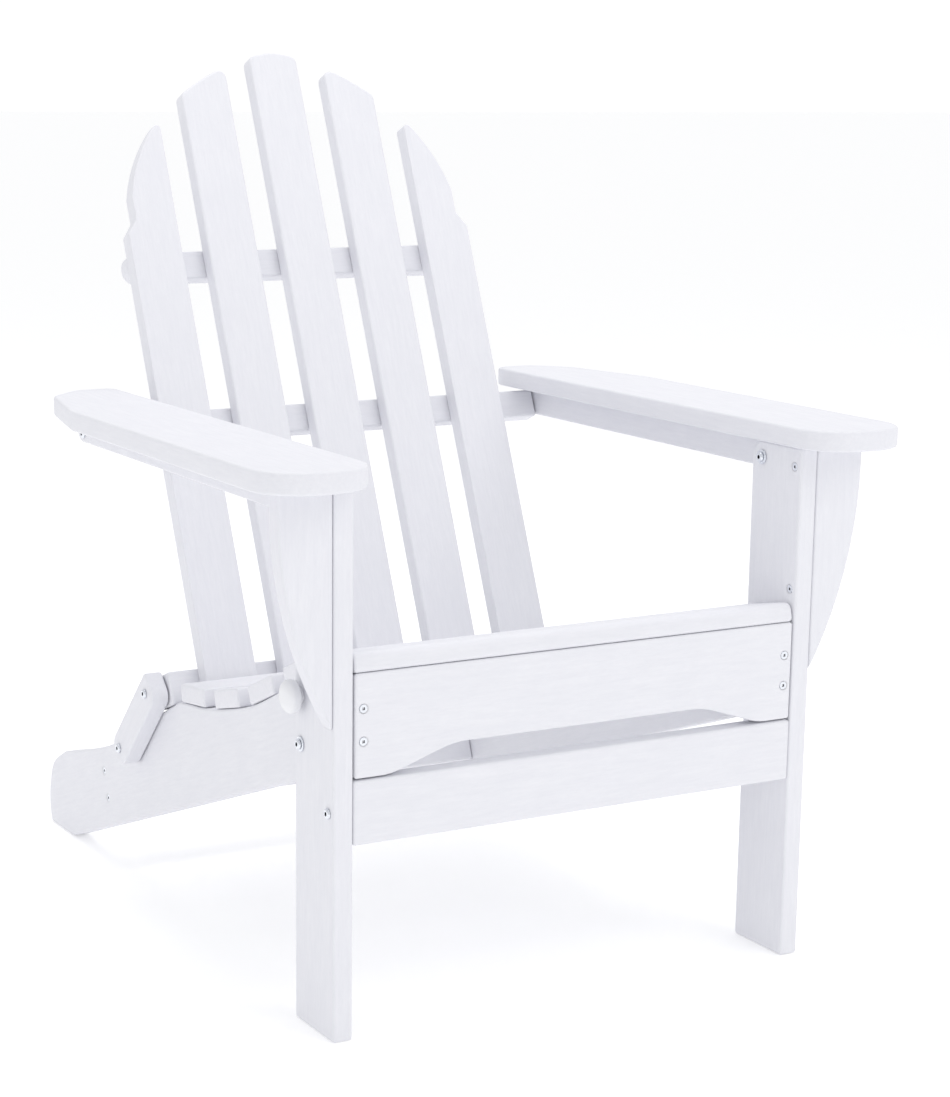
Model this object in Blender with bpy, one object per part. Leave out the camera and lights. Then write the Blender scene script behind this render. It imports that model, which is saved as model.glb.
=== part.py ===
"""A folding slatted garden chair with a reclined back, a scooped seat and wide flat arms.

Lengths are written in millimetres and turned into metres where a mesh is made.
+X is the sitter's left, -Y is the front, +Z is up. The chair stands on z = 0.
Heights and depths of the frame are measured from the floor and from the front face of the front legs.

The seat frame carries everything. The front frame turns on it, the arms turn on the front frame,
the back turns on the arms, and two short links tie the foot of the back to the seat rails.
"""

import math

import bmesh
import bpy
from mathutils import Matrix, Vector

MM = 0.001

# Boards, fits and hardware
BOARD = 22.0
SLAT = 21.0
SLAT_WIDTH = 63.5
BATTEN = 34.0
LINK_WIDTH = 38.0
LOWER_BRACE = 38.0
EASE = 3.0
FIT = 0.3
PIVOT_GAP = 1.5
BOLT_RADIUS = 3.0
BOLT_HEAD = 5.6
BOLT_HEAD_HEIGHT = 3.0
SOCKET_RADIUS = 2.0
SOCKET_DEPTH = 2.0
WASHER_RADIUS = 8.0
WASHER = 1.6
NUT_FLATS = 10.0
NUT_HEIGHT = 5.5
ROUND_STEPS = 24
ARC_ERROR = 0.12
CROWN_STEPS = 9
CORNER_STEPS = 4
CORBEL_STEPS = 10
KNOB_STEPS = 4
OVERCUT = 1.0
SHARP_EDGE = 32.0

# Front frame
SEAT_OPENING = 527.0
LEG_HEIGHT = 559.7
LEG_WIDTH = 85.0
STRETCHER_BOTTOM = 201.0
STRETCHER_HEIGHT = 66.0
STRETCHER_BOLT_HEIGHT = 235.0
CORBEL_REACH = 58.5
CORBEL_STRAIGHT = 20.0
CORBEL_RADIUS = 445.0
LEG_TOP_RADIUS = 17.5

# Seat frame
RAIL_PIVOT_FROM_REAR = 14.0
RAIL_PIVOT_HEIGHT = 291.0
RAIL_SLOPE = 20.2
FOOT_START = 768.0
FOOT_ROUNDING = 40.0
RAIL_TOP = [
    (BOARD + FIT, 369.6),
    (75.0, 358.3),
    (125.0, 339.5),
    (182.0, 313.3),
    (240.0, 288.2),
    (300.0, 271.2),
    (356.0, 258.8),
    (421.0, 251.0),
    (444.0, 242.0),
    (461.0, 234.5),
    (540.0, 196.0),
    (624.0, 155.0),
    (703.0, 128.5),
    (790.0, 104.5),
]
RAIL_END = [(790.0, 104.5), (829.0, 82.0), (843.5, 52.0), (846.5, 24.0), (841.0, 0.0)]
APRON_BOTTOM = 268.7
ARCH_RISE = 23.8
ARCH_FOOT = 222.0
ARCH_SHOULDER = 150.0
ARCH_FOOT_RADIUS = 60.0
ARCH_SHOULDER_RADIUS = 90.0
FRONT_SLAT_WIDTH = 70.0
FRONT_SLAT_NOSE = 9.0
SEAT_SLATS = 4
BACK_TO_SEAT_GAP = 1.0
CROSS_BRACE_DEPTH = 650.0
CROSS_BRACE_HEIGHT = 97.6
KNOB_RADIUS = 17.0
KNOB_STEM_RADIUS = 8.0
KNOB_STEM = 6.0
KNOB_CAP = 13.0
KNOB_STRAIGHT = 0.55
KNOB_FLAT = 0.35
KNOB_EDGE = 1.5
KNOB_ABOVE_PIVOT = 49.5

# Arms
ARM_WIDTH = 120.0
ARM_OVERLAP = 8.0
ARM_NOSE = 51.5
ARM_REAR = 617.0
ARM_TAPER_START = 446.0
ARM_TAPER = 29.5
ARM_CORNER_LENGTH = 39.0
ARM_CORNER_WIDTH = 41.0
ARM_TAPER_RADIUS = 40.0
ARM_CORNER_RADIUS = 30.0
ARM_INNER_RADIUS = 14.0
ARM_NOSE_RADIUS = 52.0
UNDER_RAIL_FRONT = 31.0
UNDER_RAIL_END = 20.5
UNDER_RAIL_FRONT_RADIUS = 12.0
UNDER_RAIL_REAR_RADIUS = 15.0
ARM_BOLT_END = 11.0
ARM_PIVOT_TO_BACK_PIVOT = 511.8
BACK_PIVOT_DROP = 5.5

# Back
BACK_LEAN = 23.0
BACK_SLATS = 5
BACK_PITCH = 97.0
CROWN_BASE = 188.0
CROWN_RISE = 262.0
CROWN_HALF_WIDTH = 221.0
CROWN_ROUNDNESS = 1.44
CROWN_SQUARENESS = 2.65
SHOULDER_WIDTH = 213.5
SHOULDER_TOP = 242.0
SHOULDER_END = 225.0
CROWN_CORNER = 9.5
TIP_CORNER = 5.0
SHOULDER_CORNER = 5.0
UPPER_BRACE_CENTRE = 192.5
UPPER_BRACE_ROUNDING = 15.0
LOWER_BRACE_CLEARANCE = 1.0

# Links
LINK_BACK = 79.7
LINK_DROP = 83.0
LINK_TOP = 15.0
LINK_FRONT_RADIUS = 4.0
LINK_REAR_RADIUS = 14.0
BOLT_BITE = 40.0
BOLT_TAIL = 2.0

WHITE = (0.83, 0.84, 0.86)
STEEL = (0.55, 0.56, 0.58)

leg_inner = SEAT_OPENING / 2
leg_outer = leg_inner + BOARD
seat_half = leg_inner - PIVOT_GAP
rail_inner = seat_half - BOARD
under_rail_inner = leg_outer + PIVOT_GAP
under_rail_outer = under_rail_inner + BOARD
arm_bottom = LEG_HEIGHT + FIT
arm_pivot = (LEG_WIDTH - LEG_TOP_RADIUS, LEG_HEIGHT - LEG_TOP_RADIUS)
rail_pivot = (LEG_WIDTH - RAIL_PIVOT_FROM_REAR, RAIL_PIVOT_HEIGHT)
back_pivot = (
    arm_pivot[0] + ARM_PIVOT_TO_BACK_PIVOT,
    arm_pivot[1] - BACK_PIVOT_DROP,
)
lean = math.radians(BACK_LEAN)
slat_front = -(BOARD / 2 + FIT + SLAT)
slat_rear = -(BOARD / 2 + FIT)
hole_radius = BOLT_RADIUS + 1.5 * FIT


def smooth_curve(points, steps=4):
    """Points along a Catmull-Rom curve that passes through every given point."""
    ends = [points[0]] + points + [points[-1]]
    curve = []
    for index in range(1, len(ends) - 2):
        before, start, end, after = ends[index - 1 : index + 3]
        for step in range(steps):
            t = step / steps
            curve.append(
                tuple(
                    0.5
                    * (
                        2 * start[k]
                        + (end[k] - before[k]) * t
                        + (2 * before[k] - 5 * start[k] + 4 * end[k] - after[k]) * t * t
                        + (3 * start[k] - before[k] - 3 * end[k] + after[k]) * t * t * t
                    )
                    for k in (0, 1)
                )
            )
    return curve + [points[-1]]


def rounded(corners):
    """An outline from (a, b, radius) corners, each rounded by an arc of its radius."""
    outline = []
    for index, (a, b, radius) in enumerate(corners):
        here = Vector((a, b))
        if radius == 0:
            outline.append((a, b))
            continue
        back = Vector(corners[index - 1][:2]) - here
        ahead = Vector(corners[(index + 1) % len(corners)][:2]) - here
        back_room, ahead_room = back.length, ahead.length
        back.normalize()
        ahead.normalize()
        half = back.angle(ahead) / 2
        run = min(radius / math.tan(half), 0.49 * back_room, 0.49 * ahead_room)
        radius = run * math.tan(half)
        centre = here + (back + ahead).normalized() * (radius / math.sin(half))
        start = here + back * run - centre
        end = here + ahead * run - centre
        turn = start.angle_signed(end)
        widest_step = 2 * math.acos(1 - min(1, ARC_ERROR / radius))
        steps = max(2, math.ceil(abs(turn) / widest_step))
        for step in range(steps + 1):
            angle = turn * step / steps
            point = centre + Vector(
                (
                    start.x * math.cos(angle) + start.y * math.sin(angle),
                    start.y * math.cos(angle) - start.x * math.sin(angle),
                )
            )
            outline.append((point.x, point.y))
    return outline


def height_on(curve, depth):
    """Height of the curve at a depth, read between its points."""
    for (y0, z0), (y1, z1) in zip(curve, curve[1:]):
        if y0 <= depth <= y1:
            return z0 + (z1 - z0) * (depth - y0) / (y1 - y0)
    raise ValueError(f"depth {depth} is off the curve")


def point_along(curve, distance):
    """The point of the curve at a distance from its start, measured along it."""
    for (y0, z0), (y1, z1) in zip(curve, curve[1:]):
        step = math.hypot(y1 - y0, z1 - z0)
        if distance <= step:
            return (y0 + (y1 - y0) * distance / step, z0 + (z1 - z0) * distance / step)
        distance -= step
    raise ValueError("the distance runs past the end of the curve")


def distance_to(curve, depth):
    """The length along the curve from its start to a depth."""
    total = 0.0
    for (y0, z0), (y1, z1) in zip(curve, curve[1:]):
        step = math.hypot(y1 - y0, z1 - z0)
        if y0 <= depth <= y1:
            return total + step * (depth - y0) / (y1 - y0)
        total += step
    raise ValueError(f"depth {depth} is off the curve")


def material(name, colour, roughness, metallic):
    made = bpy.data.materials.new(name)
    made.use_nodes = True
    shader = made.node_tree.nodes["Principled BSDF"]
    shader.inputs["Base Color"].default_value = (*colour, 1)
    shader.inputs["Roughness"].default_value = roughness
    shader.inputs["Metallic"].default_value = metallic
    return made


def pivot_empty(name, at, turn=0.0):
    """An empty on a joint's axis, at a (depth, height) of the chair."""
    empty = bpy.data.objects.new(name, None)
    empty.location = (0, at[0] * MM, at[1] * MM)
    empty.rotation_euler.x = turn
    empty.parent = chair
    bpy.context.scene.collection.objects.link(empty)
    return empty


def place(name, mesh, parent, look):
    """Puts a mesh in the scene on its parent, with its own copy of the look."""
    piece = bpy.data.objects.new(name, mesh)
    piece.parent = parent
    mesh.materials.append(material(name, *look))
    bpy.context.scene.collection.objects.link(piece)
    return piece


def prism(name, outline, low, high, axis="x"):
    """A solid with the outline as its section, from low to high along the axis.
    The outline holds (y, z) pairs along x, (x, z) along y and (x, y) along z."""
    order = {"x": (2, 0, 1), "y": (0, 2, 1), "z": (0, 1, 2)}[axis]
    shape = bmesh.new()
    rings = []
    for level in (low, high):
        ring = []
        for a, b in outline:
            point = (a, b, level)
            ring.append(shape.verts.new([point[k] * MM for k in order]))
        rings.append(ring)
    count = len(outline)
    shape.faces.new(rings[0])
    shape.faces.new(rings[1])
    for index in range(count):
        after = (index + 1) % count
        shape.faces.new(
            (rings[0][index], rings[0][after], rings[1][after], rings[1][index])
        )
    bmesh.ops.recalc_face_normals(shape, faces=shape.faces)
    mesh = bpy.data.meshes.new(name)
    shape.to_mesh(mesh)
    shape.free()
    return mesh


def box_outline(a0, a1, b0, b1):
    return [(a0, b0), (a1, b0), (a1, b1), (a0, b1)]


def turned(name, profile, steps=ROUND_STEPS):
    """A solid turned about the x axis from (x, radius) pairs that start and end on the axis."""
    shape = bmesh.new()
    rings = []
    for x, radius in profile:
        count = 1 if radius == 0 else steps
        rings.append(
            [
                shape.verts.new(
                    (
                        x * MM,
                        radius * math.cos(math.tau * k / steps) * MM,
                        radius * math.sin(math.tau * k / steps) * MM,
                    )
                )
                for k in range(count)
            ]
        )
    for first, second in zip(rings, rings[1:]):
        for k in range(steps):
            after = (k + 1) % steps
            corners = [
                first[k % len(first)],
                first[after % len(first)],
                second[after % len(second)],
                second[k % len(second)],
            ]
            shape.faces.new(list(dict.fromkeys(corners)))
    bmesh.ops.recalc_face_normals(shape, faces=shape.faces)
    mesh = bpy.data.meshes.new(name)
    shape.to_mesh(mesh)
    shape.free()
    mesh.shade_smooth()
    mesh.set_sharp_from_angle(angle=math.radians(35))
    return mesh


def ring(name, low, high, inner, outer, flats=False, steps=ROUND_STEPS):
    """A washer about the x axis, or a hexagonal nut when flats is set."""
    shape = bmesh.new()
    loops = []
    for x, is_outer in ((low, False), (low, True), (high, True), (high, False)):
        loop = []
        for k in range(steps):
            angle = math.tau * k / steps
            radius = outer if is_outer else inner
            if is_outer and flats:
                from_flat = (angle + math.pi / 6) % (math.pi / 3) - math.pi / 6
                radius = outer / math.cos(from_flat)
            loop.append(
                shape.verts.new(
                    (
                        x * MM,
                        radius * math.cos(angle) * MM,
                        radius * math.sin(angle) * MM,
                    )
                )
            )
        loops.append(loop)
    for index in range(4):
        first, second = loops[index], loops[(index + 1) % 4]
        for k in range(steps):
            after = (k + 1) % steps
            shape.faces.new((first[k], first[after], second[after], second[k]))
    bmesh.ops.recalc_face_normals(shape, faces=shape.faces)
    mesh = bpy.data.meshes.new(name)
    shape.to_mesh(mesh)
    shape.free()
    mesh.shade_smooth()
    mesh.set_sharp_from_angle(angle=math.radians(35))
    return mesh


def board(name, outline, low, high, parent, axis="x", origin=(0.0, 0.0)):
    """A board with eased edges. Its outline and levels are depths and heights of the chair, or of its
    parent where the parent leans, and origin is the (depth, height) of the parent."""
    mesh = prism(name, outline, low, high, axis)
    mesh.transform(Matrix.Translation((0, -origin[0] * MM, -origin[1] * MM)))
    piece = place(name, mesh, parent, (WHITE, 0.5, 0.0))
    bevel = piece.modifiers.new("eased_edges", "BEVEL")
    bevel.width = EASE * MM
    bevel.segments = 2
    bevel.limit_method = "ANGLE"
    bevel.angle_limit = math.radians(SHARP_EDGE)
    return piece


def drill(piece, at, low, high, origin=(0.0, 0.0)):
    """Cuts a bolt hole along x through a piece, at a (depth, height) given as the piece's own are."""
    mesh = turned(
        f"{piece.name}_drill",
        [(low, 0), (low, hole_radius), (high, hole_radius), (high, 0)],
    )
    mesh.transform(Matrix.Translation((0, (at[0] - origin[0]) * MM, (at[1] - origin[1]) * MM)))
    cutter = bpy.data.objects.new(f"{piece.name}_drill", mesh)
    cutter.parent = piece.parent
    cutter.location = piece.location
    cutter.rotation_euler = piece.rotation_euler
    cutter.hide_render = True
    cutter.display_type = "WIRE"
    bpy.context.scene.collection.objects.link(cutter)
    cut = piece.modifiers.new("bolt_hole", "BOOLEAN")
    cut.operation = "DIFFERENCE"
    cut.object = cutter


def bolt(name, parent, seat, tip, outward, at=(0.0, 0.0)):
    """A button-head bolt along x. Its head bears at x = seat and faces outward (+1 or -1), and its
    shank ends at x = tip. The head has a round socket."""
    top = seat + outward * BOLT_HEAD_HEIGHT
    floor = top - outward * SOCKET_DEPTH
    profile = [
        (floor, 0),
        (floor, SOCKET_RADIUS),
        (top, SOCKET_RADIUS),
        (top, 0.62 * BOLT_HEAD),
        (top - outward * 0.3 * BOLT_HEAD_HEIGHT, 0.88 * BOLT_HEAD),
        (seat, BOLT_HEAD),
        (seat, BOLT_RADIUS),
        (tip, BOLT_RADIUS),
        (tip, 0),
    ]
    mesh = turned(name, profile)
    mesh.transform(Matrix.Translation((0, at[0] * MM, at[1] * MM)))
    return place(name, mesh, parent, (STEEL, 0.3, 1.0))


def washer(name, parent, face, outward, at=(0.0, 0.0)):
    """A washer lying on a face at x = face, on the side that outward gives."""
    low, high = sorted((face + outward * FIT, face + outward * (FIT + WASHER)))
    mesh = ring(name, low, high, hole_radius, WASHER_RADIUS)
    mesh.transform(Matrix.Translation((0, at[0] * MM, at[1] * MM)))
    return place(name, mesh, parent, (STEEL, 0.35, 1.0))


def nut(name, parent, face, outward, at=(0.0, 0.0)):
    """A hexagonal nut bearing on a face at x = face."""
    low, high = sorted((face + outward * FIT, face + outward * (FIT + NUT_HEIGHT)))
    mesh = ring(name, low, high, hole_radius, NUT_FLATS / 2, flats=True)
    mesh.transform(Matrix.Translation((0, at[0] * MM, at[1] * MM)))
    return place(name, mesh, parent, (STEEL, 0.35, 1.0))


def on_back(t, off):
    """The chair's (depth, height) of a point t up the back and off behind the back pivots."""
    return (
        back_pivot[0] + t * math.sin(lean) + off * math.cos(lean),
        back_pivot[1] + t * math.cos(lean) - off * math.sin(lean),
    )


def lower_brace_place():
    """How far the foot of the lower brace is below the back pivots, with the brace just clear of
    the rails that it comes down on."""
    foot = -1.5 * back_pivot[1]
    while foot < 0:
        corners = [on_back(foot, slat_rear + FIT + step * LOWER_BRACE / 4) for step in range(5)]
        room = min(height - height_on(seat_curve, depth) for depth, height in corners)
        if room > LOWER_BRACE_CLEARANCE:
            return foot
        foot += 0.5
    raise ValueError("the back is too short to reach the seat rails")


def resting_line(start, end):
    """The (depth, height) and the slope angle of a straight line that rests on the seat curve between
    two depths, with the fit between them."""
    low, high = height_on(seat_curve, start), height_on(seat_curve, end)
    slope = (high - low) / (end - start)
    lift = max(
        [height - (low + slope * (depth - start)) for depth, height in seat_curve if start < depth < end]
        + [0.0]
    )
    return (start, low + lift + FIT), math.atan(slope)


def seat_board(name, width, at, slope, nose=0.0):
    """A slat across the seat, whose front lower edge is at a (depth, height) and which runs back
    along a slope. nose is the radius of its front upper edge."""
    corners = [(0, 0, nose / 2), (width, 0, 0), (width, SLAT, 0), (0, SLAT, nose)]
    piece = board(name, rounded(corners), -seat_half, seat_half, seat)
    piece.location = (0, at[0] * MM, at[1] * MM)
    piece.rotation_euler.x = slope
    return piece


def crown(x):
    """Height of the back's rounded top above the back pivots."""
    share = 1 - (abs(x) / CROWN_HALF_WIDTH) ** CROWN_ROUNDNESS
    return CROWN_BASE + CROWN_RISE * share ** (1 / CROWN_SQUARENESS)


def crown_corner(edge, inward, radius):
    """Points of the arc that rounds a slat's top corner, from the slat's edge at x = edge to the
    crown. inward is the way along x from the edge to the slat's middle."""
    centre = edge + inward * radius
    reach = [centre + (step / 20 - 1) * radius for step in range(41)]
    low, high = crown(edge) - 6 * radius, crown(centre)
    for _ in range(40):
        height = (low + high) / 2
        if min(math.hypot(x - centre, crown(x) - height) for x in reach) > radius:
            low = height
        else:
            high = height
    touch = min(reach, key=lambda x: math.hypot(x - centre, crown(x) - height))
    start = 0.0 if inward < 0 else math.pi
    end = math.atan2(crown(touch) - height, touch - centre)
    arc = []
    for step in range(CORNER_STEPS + 1):
        angle = start + (end - start) * step / CORNER_STEPS
        arc.append((centre + radius * math.cos(angle), height + radius * math.sin(angle)))
    return arc


def back_slat(index):
    """One slat of the back. The outer two narrow to a shoulder below the crown."""
    centre = (index - (BACK_SLATS - 1) / 2) * BACK_PITCH
    near = abs(centre) - SLAT_WIDTH / 2
    far = abs(centre) + SLAT_WIDTH / 2
    top = min(far, SHOULDER_WIDTH)
    corners = [(near, brace_foot, 0), (far, brace_foot, 0)]
    if far > SHOULDER_WIDTH:
        corners += [
            (far, SHOULDER_END, SHOULDER_CORNER),
            (SHOULDER_WIDTH, SHOULDER_TOP, SHOULDER_CORNER),
        ]
        last = (top, crown(top))
    else:
        arc = crown_corner(far, -1, CROWN_CORNER)
        corners += [(x, z, 0) for x, z in arc]
        last = arc[-1]
    inner_arc = crown_corner(near, 1, TIP_CORNER if far > SHOULDER_WIDTH else CROWN_CORNER)
    first = inner_arc[-1]
    if far > SHOULDER_WIDTH:
        corners.append((*last, 0))
    for step in range(1, CROWN_STEPS):
        x = last[0] + (first[0] - last[0]) * step / CROWN_STEPS
        corners.append((x, crown(x), 0))
    corners += [(x, z, 0) for x, z in reversed(inner_arc)]
    side = 1 if centre >= 0 else -1
    outline = [(side * x, z) for x, z in rounded(corners)]
    board(f"back_slat_{index + 1}", outline, slat_front, slat_front + SLAT, back, "y")


def brace_corners(foot, depth, height):
    """The (off, t) outline of a brace behind the slats."""
    return box_outline(slat_rear + FIT, slat_rear + FIT + depth, foot, foot + height)


for old in list(bpy.data.objects):
    bpy.data.objects.remove(old)

seat_curve = smooth_curve(RAIL_TOP)
brace_foot = lower_brace_place()
link_top = on_back(brace_foot + LOWER_BRACE / 2, slat_rear + FIT + LOWER_BRACE / 2)
link_pivot = (link_top[0] + LINK_BACK, link_top[1] - LINK_DROP)
link_length = math.hypot(LINK_BACK, LINK_DROP)
link_lean = math.atan2(LINK_BACK, LINK_DROP)
rail_rear = max(depth for depth, height in RAIL_END)

chair = bpy.data.objects.new("chair", None)
chair.location.y = (ARM_NOSE - rail_rear) / 2 * MM
bpy.context.scene.collection.objects.link(chair)
seat = pivot_empty("seat_frame", (0.0, 0.0))
front = pivot_empty("front_frame", rail_pivot)
arms = pivot_empty("arms", arm_pivot)
back = pivot_empty("back", back_pivot, -lean)


def stop_knob(side, sign):
    """A mushroom knob on the outer face of a leg, above the pivot of the seat rail."""
    face = leg_outer + FIT
    neck = face + KNOB_STEM
    straight = KNOB_CAP * KNOB_STRAIGHT
    profile = [
        (face, 0),
        (face, KNOB_STEM_RADIUS),
        (neck, KNOB_STEM_RADIUS),
        (neck, KNOB_RADIUS - KNOB_EDGE),
        (neck + KNOB_EDGE, KNOB_RADIUS),
        (neck + straight, KNOB_RADIUS),
    ]
    for step in range(1, KNOB_STEPS):
        angle = math.pi / 2 * step / KNOB_STEPS
        radius = KNOB_RADIUS * (KNOB_FLAT + (1 - KNOB_FLAT) * math.cos(angle))
        profile.append((neck + straight + (KNOB_CAP - straight) * math.sin(angle), radius))
    profile.append((neck + KNOB_CAP, 0))
    mesh = turned(f"stop_knob_{side}", [(sign * x, radius) for x, radius in profile])
    knob = place(f"stop_knob_{side}", mesh, front, (WHITE, 0.45, 0.0))
    knob.location.z = KNOB_ABOVE_PIVOT * MM


def front_frame():
    for side, sign in (("right", -1), ("left", 1)):
        corners = [
            (0, 0, 0),
            (LEG_WIDTH, 0, 0),
            (LEG_WIDTH, LEG_HEIGHT, LEG_TOP_RADIUS),
            (0, LEG_HEIGHT, 0),
        ]
        low, high = sorted((sign * leg_inner, sign * leg_outer))
        leg = board(f"leg_{side}", rounded(corners), low, high, front, origin=rail_pivot)
        for hole in (rail_pivot, arm_pivot, (BOARD / 2, STRETCHER_BOLT_HEIGHT)):
            drill(leg, hole, low - OVERCUT, high + OVERCUT, rail_pivot)

        inner = leg_outer + FIT
        outer = inner + CORBEL_REACH
        shoulder = LEG_HEIGHT - CORBEL_STRAIGHT
        sweep = math.acos(1 - CORBEL_REACH / CORBEL_RADIUS)
        outline = [(inner, LEG_HEIGHT), (outer, LEG_HEIGHT)]
        for step in range(CORBEL_STEPS + 1):
            angle = sweep * step / CORBEL_STEPS
            outline.append(
                (
                    outer - CORBEL_RADIUS * (1 - math.cos(angle)),
                    shoulder - CORBEL_RADIUS * math.sin(angle),
                )
            )
        outline = [(sign * x, z) for x, z in outline]
        board(f"corbel_{side}", outline, 0, BOARD, front, "y", rail_pivot)

        at = (BOARD / 2 - rail_pivot[0], STRETCHER_BOLT_HEIGHT - rail_pivot[1])
        face = sign * leg_outer
        tip = sign * (leg_inner - BOLT_BITE)
        bolt(f"stretcher_bolt_{side}", front, face + sign * FIT, tip, sign, at)

        at = (arm_pivot[0] - rail_pivot[0], arm_pivot[1] - rail_pivot[1])
        face = sign * leg_inner
        washer(f"arm_washer_{side}", front, face, -sign, at)
        head = face - sign * (2 * FIT + WASHER)
        tip = sign * (under_rail_outer + ARM_BOLT_END)
        bolt(f"arm_bolt_{side}", front, head, tip, -sign, at)
        nut(f"arm_nut_{side}", front, sign * under_rail_outer, sign, at)

        washer(f"rail_washer_{side}", front, sign * leg_outer, sign)
        head = sign * (leg_outer + 2 * FIT + WASHER)
        tip = sign * (rail_inner - FIT - NUT_HEIGHT - BOLT_TAIL)
        bolt(f"rail_bolt_{side}", front, head, tip, sign)
        stop_knob(side, sign)

    end = leg_inner - FIT
    outline = box_outline(0, BOARD, STRETCHER_BOTTOM, STRETCHER_BOTTOM + STRETCHER_HEIGHT)
    stretcher = board("stretcher", outline, -end, end, front, origin=rail_pivot)
    for sign in (-1, 1):
        low, high = sorted((sign * (end + OVERCUT), sign * (leg_inner - BOLT_BITE - OVERCUT)))
        drill(stretcher, (BOARD / 2, STRETCHER_BOLT_HEIGHT), low, high, rail_pivot)


def seat_frame():
    slope = math.tan(math.radians(RAIL_SLOPE))
    start = RAIL_TOP[0][0]
    outline = [(depth, height, 0) for depth, height in seat_curve + smooth_curve(RAIL_END)[1:]]
    outline.append((FOOT_START, 0, FOOT_ROUNDING))
    outline.append((start, (FOOT_START - start) * slope, 0))
    outline = rounded(outline)
    for side, sign in (("right", -1), ("left", 1)):
        low, high = sorted((sign * rail_inner, sign * seat_half))
        rail = board(f"seat_rail_{side}", outline, low, high, seat)
        drill(rail, rail_pivot, low - OVERCUT, high + OVERCUT)
        drill(rail, link_pivot, low - OVERCUT, high + OVERCUT)
        nut(f"rail_nut_{side}", seat, sign * rail_inner, -sign, rail_pivot)
        nut(f"link_nut_{side}", seat, sign * rail_inner, -sign, link_pivot)

    (depth, height), angle = resting_line(start, FRONT_SLAT_WIDTH)
    lip = (0.0, height - depth * math.tan(angle))
    apron_top = lip[1] - FIT
    corners = [
        (-seat_half, APRON_BOTTOM, 0),
        (-ARCH_FOOT, APRON_BOTTOM, ARCH_FOOT_RADIUS),
        (-ARCH_SHOULDER, APRON_BOTTOM + ARCH_RISE, ARCH_SHOULDER_RADIUS),
        (ARCH_SHOULDER, APRON_BOTTOM + ARCH_RISE, ARCH_SHOULDER_RADIUS),
        (ARCH_FOOT, APRON_BOTTOM, ARCH_FOOT_RADIUS),
        (seat_half, APRON_BOTTOM, 0),
        (seat_half, apron_top, 0),
        (-seat_half, apron_top, 0),
    ]
    apron = board("apron", rounded(corners), 0, BOARD, seat, "y")
    for vertex in apron.data.vertices:
        if vertex.co.z > (apron_top - 1) * MM:
            vertex.co.z += vertex.co.y * math.tan(angle)

    seat_board("seat_slat_front", FRONT_SLAT_WIDTH, lip, angle, nose=FRONT_SLAT_NOSE)
    front_end = distance_to(seat_curve, FRONT_SLAT_WIDTH * math.cos(angle))
    rear = back_foot_depth() - BACK_TO_SEAT_GAP
    rear_end = distance_to(seat_curve, rear)
    gap = (rear_end - front_end) / SEAT_SLATS - SLAT_WIDTH
    for index in range(SEAT_SLATS):
        begin = front_end + gap + index * (SLAT_WIDTH + gap)
        first = point_along(seat_curve, begin)[0]
        last = point_along(seat_curve, begin + SLAT_WIDTH)[0]
        at, angle = resting_line(first, last)
        seat_board(f"seat_slat_{index + 1}", SLAT_WIDTH, at, angle)

    end = rail_inner - FIT
    half = SLAT_WIDTH / 2
    outline = box_outline(-BOARD / 2, BOARD / 2, -half, half)
    brace = board("rear_cross_brace", outline, -end, end, seat)
    brace.location = (0, CROSS_BRACE_DEPTH * MM, CROSS_BRACE_HEIGHT * MM)
    brace.rotation_euler.x = -math.radians(RAIL_SLOPE)


def back_foot_depth():
    """Depth of the front of the back slats at the height of the seat's rear edge."""
    for depth, height in reversed(seat_curve):
        t = (height - back_pivot[1] + slat_front * math.sin(lean)) / math.cos(lean)
        if on_back(t, slat_front)[0] > depth:
            return depth
    raise ValueError("the back is in front of the seat")


def arm_frame():
    inner = leg_inner - ARM_OVERLAP
    outer = inner + ARM_WIDTH
    taper = outer - ARM_TAPER
    corners = [
        (inner, -ARM_NOSE, ARM_NOSE_RADIUS),
        (outer, -ARM_NOSE, ARM_NOSE_RADIUS),
        (outer, ARM_TAPER_START, ARM_TAPER_RADIUS),
        (taper, ARM_REAR - ARM_CORNER_LENGTH, ARM_TAPER_RADIUS),
        (taper - ARM_CORNER_WIDTH, ARM_REAR, ARM_CORNER_RADIUS),
        (inner, ARM_REAR, ARM_INNER_RADIUS),
    ]
    for side, sign in (("right", -1), ("left", 1)):
        outline = [(sign * x, y - arm_pivot[0]) for x, y in rounded(corners)]
        low = arm_bottom - arm_pivot[1]
        board(f"arm_{side}", outline, low, low + BOARD, arms, "z")

        top = arm_bottom - FIT
        foot = top - BATTEN
        rear = back_pivot[0] + UNDER_RAIL_END
        rail_corners = [
            (UNDER_RAIL_FRONT, foot, UNDER_RAIL_FRONT_RADIUS),
            (rear, foot, UNDER_RAIL_REAR_RADIUS),
            (rear, top, 0),
            (UNDER_RAIL_FRONT, top, 0),
        ]
        low, high = sorted((sign * under_rail_inner, sign * under_rail_outer))
        name = f"arm_rail_{side}"
        rail = board(name, rounded(rail_corners), low, high, arms, origin=arm_pivot)
        drill(rail, arm_pivot, low - OVERCUT, high + OVERCUT, arm_pivot)
        drill(rail, back_pivot, low - OVERCUT, high + OVERCUT, arm_pivot)
        at = (back_pivot[0] - arm_pivot[0], back_pivot[1] - arm_pivot[1])
        head = sign * (under_rail_outer + FIT)
        tip = sign * (under_rail_inner - PIVOT_GAP - BOLT_BITE)
        bolt(f"back_bolt_{side}", arms, head, tip, sign, at)


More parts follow.
